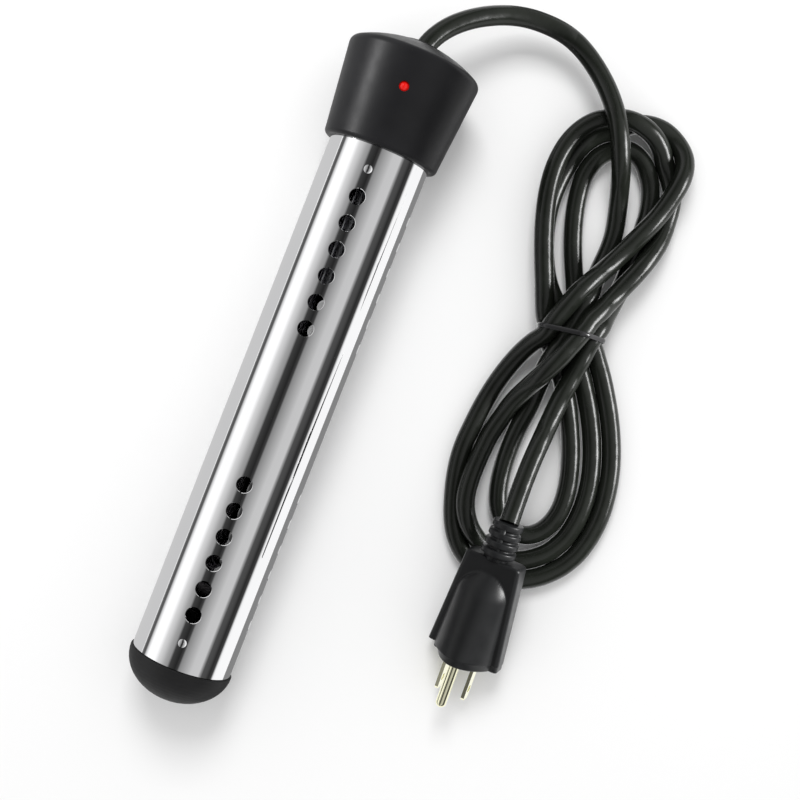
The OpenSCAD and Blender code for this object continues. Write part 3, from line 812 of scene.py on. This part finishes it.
def polished(name, colour, roughness):
    """Mirror-polished metal: faint lengthwise polishing lines and a little haze."""
    look = Shader(name, colour, roughness, metallic=1.0)
    look.vary_colour(look.noise(22, 3), 0.015)
    look.vary_roughness(look.noise(900, 5, where=look.stretched((1, 0.02, 1))), 0.012)
    return look.material


def cord_jacket(name):
    """Glossy PVC with an olive cast, faint drawn lines and slow unevenness."""
    look = Shader(name, (0.0062, 0.0072, 0.0056), 0.22, specular=0.34)
    look.vary_colour(look.noise(60, 4), 0.25)
    look.vary_roughness(look.noise(220, 4), 0.06)
    look.bump(look.noise(420, 3), 0.00009, 0.5)
    return look.material


def lens(name):
    """Red lens, lit from behind, its colour varying a little at random."""
    look = Shader(name, (0.55, 0.006, 0.004), 0.16, specular=0.4)
    look.vary_colour(look.noise(500, 2), 0.1)
    look.set("Coat Weight", 0.3)
    look.set("Emission Color", (1, 0.015, 0.01, 1))
    look.set("Emission Strength", 0.16)
    look.vary_roughness(look.noise(900, 2), 0.04)
    return look.material


def tinted_sheath(name):
    """Element sheath with heat tints that drift along its length."""
    look = Shader(name, (0.3, 0.27, 0.24), 0.34, metallic=1.0)
    look.vary_colour(look.noise(26, 3), 0.35, tint=(0.34, 0.33, 0.38))
    fine = look.noise(1500, 4, where=look.stretched((1, 0.1, 1)))
    look.vary_roughness(fine, 0.1)
    look.bump(fine, 0.00001)
    return look.material


def cast(name, colour, roughness):
    """Poured or fired material with pores and slow waves."""
    look = Shader(name, colour, roughness)
    look.vary_colour(look.noise(120, 5), 0.2)
    look.vary_roughness(look.noise(400, 3), 0.08)
    look.bump(look.noise(700, 5), 0.00006)
    return look.material


SLOT_LOOKS = {
    "head_plastic": moulded("head_plastic", (0.01, 0.01, 0.011), 0.36, specular=0.19),
    "gland_rubber": moulded("gland_rubber", (0.007, 0.007, 0.008), 0.5, specular=0.3),
    "led_red": lens("led_red"),
    "polished_steel": polished("polished_steel", (0.93, 0.93, 0.94), 0.035),
    "cap_rubber": moulded("cap_rubber", (0.008, 0.008, 0.0085), 0.6, specular=0.4),
    "plain_steel": machined("plain_steel", (0.55, 0.56, 0.58), 0.3),
    "seal_rubber": moulded("seal_rubber", (0.012, 0.012, 0.012), 0.55),
    "element_sheath": tinted_sheath("element_sheath"),
    "brass": machined("brass", (0.78, 0.6, 0.26), 0.3),
    "ceramic": cast("ceramic", (0.86, 0.84, 0.78), 0.6),
    "bimetal": machined("bimetal", (0.6, 0.42, 0.24), 0.28, (0.2, 1, 0.2)),
    "phenolic": cast("phenolic", (0.06, 0.032, 0.022), 0.42),
    "copper": machined("copper", (0.72, 0.4, 0.22), 0.3),
    "silver_contact": machined("silver_contact", (0.8, 0.8, 0.78), 0.25),
    "resin": cast("resin", (0.06, 0.06, 0.055), 0.3),
    "wire_black": moulded("wire_black", (0.014, 0.014, 0.014), 0.35, 900, 0.00002),
    "wire_red": moulded("wire_red", (0.34, 0.025, 0.02), 0.35, 900, 0.00002),
    "wire_white": moulded("wire_white", (0.78, 0.77, 0.73), 0.35, 900, 0.00002),
    "wire_green": moulded("wire_green", (0.03, 0.27, 0.06), 0.35, 900, 0.00002),
    "board_green": cast("board_green", (0.02, 0.16, 0.05), 0.4),
    "resistor_body": cast("resistor_body", (0.55, 0.44, 0.28), 0.5),
    "clamp_plastic": moulded("clamp_plastic", (0.03, 0.03, 0.032), 0.45),
    "cord_pvc": cord_jacket("cord_pvc"),
    "tie_pvc": moulded("tie_pvc", (0.01, 0.01, 0.0105), 0.22, 1200, 0.00002),
    "plug_pvc": moulded("plug_pvc", (0.0075, 0.0078, 0.0082), 0.36, specular=0.25),
    "plated_brass": polished("plated_brass", (0.95, 0.93, 0.68), 0.12),
}


def dress(piece, slot_name):
    piece.data.materials.clear()
    piece.data.materials.append(SLOT_LOOKS[slot_name])


for part in frame["record"]["subparts"]:
    node = frame["nodes"][part["node"]]
    node.data.materials.clear()
    node.data.materials.append(SLOT_LOOKS[part["material_slot"]])


# ---------- pieces on the frame ----------

for piece, slot_name, nodes in (
    (mains_cord, "cord_pvc", ("cord_lead", "cord_hank", "cord_tail")),
    (hank_tie, "tie_pvc", ("cord_tie",)),
    (moulded_plug, "plug_pvc", ("plug_overmould",)),
    (polished_guard, "polished_steel", ("guard_tube",)),
):
    dress(piece, slot_name)
    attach(piece, "heater")
    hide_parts(*nodes)


# ---------- studio ----------

def plain_material(name, colour, roughness):
    material = bpy.data.materials.new(name)
    material.use_nodes = True
    shader = material.node_tree.nodes["Principled BSDF"]
    shader.inputs["Base Color"].default_value = (*colour, 1)
    shader.inputs["Roughness"].default_value = roughness
    shader.inputs["Specular IOR Level"].default_value = 0.0
    return material


def glow_material(name, grey):
    material = bpy.data.materials.new(name)
    material.use_nodes = True
    tree = material.node_tree
    tree.nodes.clear()
    glow = tree.nodes.new("ShaderNodeEmission")
    glow.inputs["Color"].default_value = (grey, grey, grey, 1)
    out = tree.nodes.new("ShaderNodeOutputMaterial")
    tree.links.new(glow.outputs["Emission"], out.inputs["Surface"])
    material.cycles.emission_sampling = "NONE"
    return material, tree, glow


def only_in_reflections(obj):
    obj.visible_camera = False
    obj.visible_diffuse = False
    obj.visible_shadow = False
    obj.visible_transmission = False
    obj.visible_volume_scatter = False


FLOOR_HALF = 3.0
CARD_Z = 0.0004
WORLD_STRENGTH = 0.88
SCREEN_AT = (0.06, 0.031)
HEAD_GLEAM = math.radians(62)


def build_floor():
    h = FLOOR_HALF
    floor = mesh_piece("floor", [(-h, -h, 0), (h, -h, 0), (h, h, 0), (-h, h, 0)], [(0, 1, 2, 3)])
    floor.data.materials.append(plain_material("floor_paper", (0.84, 0.84, 0.84), 0.9))


# Brightness of the light tent round the heater, as (angle from straight up, brightness)
TENT_BANDS = (
    (-92, 0.25), (-88, 0.1), (-83, 0.1), (-79, 0.65), (-73, 1.08), (-52, 1.08), (-44, 0.72),
    (-36, 0.58), (-27, 0.38), (-20, 0.3), (-15.5, 0.05), (-2, 0.02), (4, 0.05), (7.2, 0.25),
    (15, 0.34), (27, 0.48), (34, 0.58), (51.5, 0.6), (55.4, 0.31), (60, 0.08), (70, 0.065),
    (77, 0.025), (85, 0.05), (89.5, 0.8), (92, 1.05),
)
TENT_R = 0.4
TENT_Y = (-2.9, 2.9)


def build_tent():
    """Half cylinder of light about the heater's axis, seen only in reflections."""
    height = middle("guard_tube").z
    material, tree, glow = glow_material("tent_light", 1.0)
    where = tree.nodes.new("ShaderNodeTexCoord")
    split = tree.nodes.new("ShaderNodeSeparateXYZ")
    tree.links.new(where.outputs["Object"], split.inputs["Vector"])
    angle = tree.nodes.new("ShaderNodeMath")
    angle.operation = "ARCTAN2"
    tree.links.new(split.outputs["X"], angle.inputs[0])
    tree.links.new(split.outputs["Z"], angle.inputs[1])
    scale = tree.nodes.new("ShaderNodeMapRange")
    low, high = TENT_BANDS[0][0], TENT_BANDS[-1][0]
    scale.inputs["From Min"].default_value = math.radians(low)
    scale.inputs["From Max"].default_value = math.radians(high)
    tree.links.new(angle.outputs[0], scale.inputs["Value"])
    ramp = tree.nodes.new("ShaderNodeValToRGB")
    elements = ramp.color_ramp.elements
    while len(elements) < len(TENT_BANDS):
        elements.new(0.5)
    for element, (at, grey) in zip(elements, TENT_BANDS):
        element.position = (at - low) / (high - low)
        element.color = (grey, grey, grey, 1)
    tree.links.new(scale.outputs["Result"], ramp.inputs["Fac"])
    tree.links.new(ramp.outputs["Color"], glow.inputs["Color"])
    rings = []
    for y in TENT_Y:
        rings.append([(TENT_R * math.sin(math.radians(a)), y, TENT_R * math.cos(math.radians(a)))
                      for a in np.linspace(low, high, 93)])
    count = len(rings[0])
    points = rings[0] + rings[1]
    faces = [(k, k + 1, k + 1 + count, k + count) for k in range(count - 1)]
    tent = mesh_piece("light_tent", points, faces)
    tent.location = (0, 0, height)
    tent.data.materials.append(material)
    only_in_reflections(tent)


def build_card(name, low_x, high_x, grey):
    """Strip of light or shade lying beside the heater, seen only in reflections."""
    y0, y1 = TENT_Y
    z = CARD_Z
    card = mesh_piece(name, [(low_x, y0, z), (high_x, y0, z), (high_x, y1, z), (low_x, y1, z)],
                      [(0, 1, 2, 3)])
    card.data.materials.append(glow_material(name, grey)[0])
    only_in_reflections(card)


def build_lamp(name, at, aim, size, power, glossy, receivers=()):
    data = bpy.data.lights.new(name, "AREA")
    data.shape = "RECTANGLE"
    data.size, data.size_y = size
    data.energy = power
    lamp = link(bpy.data.objects.new(name, data))
    lamp.location = at
    lamp.rotation_euler = (Vector(at) - Vector(aim)).to_track_quat("Z", "Y").to_euler()
    lamp.visible_glossy = glossy
    if receivers:
        group = bpy.data.collections.new(name + "_receivers")
        for obj in receivers:
            group.objects.link(obj)
        lamp.light_linking.receiver_collection = group
    return lamp


def build_world():
    world = bpy.data.worlds.new("studio")
    world.use_nodes = True
    background = world.node_tree.nodes["Background"]
    background.inputs["Color"].default_value = (1, 1, 1, 1)
    background.inputs["Strength"].default_value = WORLD_STRENGTH
    world.cycles_visibility.glossy = False
    bpy.context.scene.world = world


def build_hank_screen():
    """Low one-sided wall of light that hides the hank from the guard's reflections only."""
    y0, y1 = TENT_Y
    x, top = SCREEN_AT
    screen = mesh_piece("hank_screen", [(x, y1, 0), (x, y0, 0), (x, y0, top), (x, y1, top)],
                        [(0, 1, 2, 3)])
    material, tree, glow = glow_material("screen_light", 1.0)
    side = tree.nodes.new("ShaderNodeNewGeometry")
    clear = tree.nodes.new("ShaderNodeBsdfTransparent")
    mix = tree.nodes.new("ShaderNodeMixShader")
    tree.links.new(side.outputs["Backfacing"], mix.inputs["Fac"])
    tree.links.new(glow.outputs["Emission"], mix.inputs[1])
    tree.links.new(clear.outputs["BSDF"], mix.inputs[2])
    tree.links.new(mix.outputs["Shader"], tree.nodes["Material Output"].inputs["Surface"])
    screen.data.materials.append(material)
    only_in_reflections(screen)


build_floor()
build_tent()
build_hank_screen()
build_card("left_card", -TENT_R, -0.024, 0.6)
build_card("right_near_card", 0.024, 0.06, 0.24)
build_card("right_far_card", 0.06, TENT_R, 1.0)
build_world()

centre = Vector((0.05, 0.01, 0))
key_at = centre + Vector((-0.28, 0.75, 1.05))
build_lamp("key", key_at, centre, (0.5, 0.5), 9, False)

cord_pieces = [mains_cord, hank_tie, moulded_plug]
hank_middle = Vector((0.11, 0.03, 0))
cord_gleam_at = hank_middle + Vector((0.7905, 0.3111, 0.42))
build_lamp("cord_gleam", cord_gleam_at, hank_middle, (0.5, 0.18), 22, True, cord_pieces)

head_middle = middle("head_cap")
head_side = Vector((-math.sin(HEAD_GLEAM), 0, math.cos(HEAD_GLEAM)))
build_lamp("head_gleam", head_middle + head_side * 0.8, head_middle, (0.4, 0.07), 3.6, True,
           [frame["nodes"]["head_cap"]])

bpy.context.scene.view_settings.view_transform = "Standard"
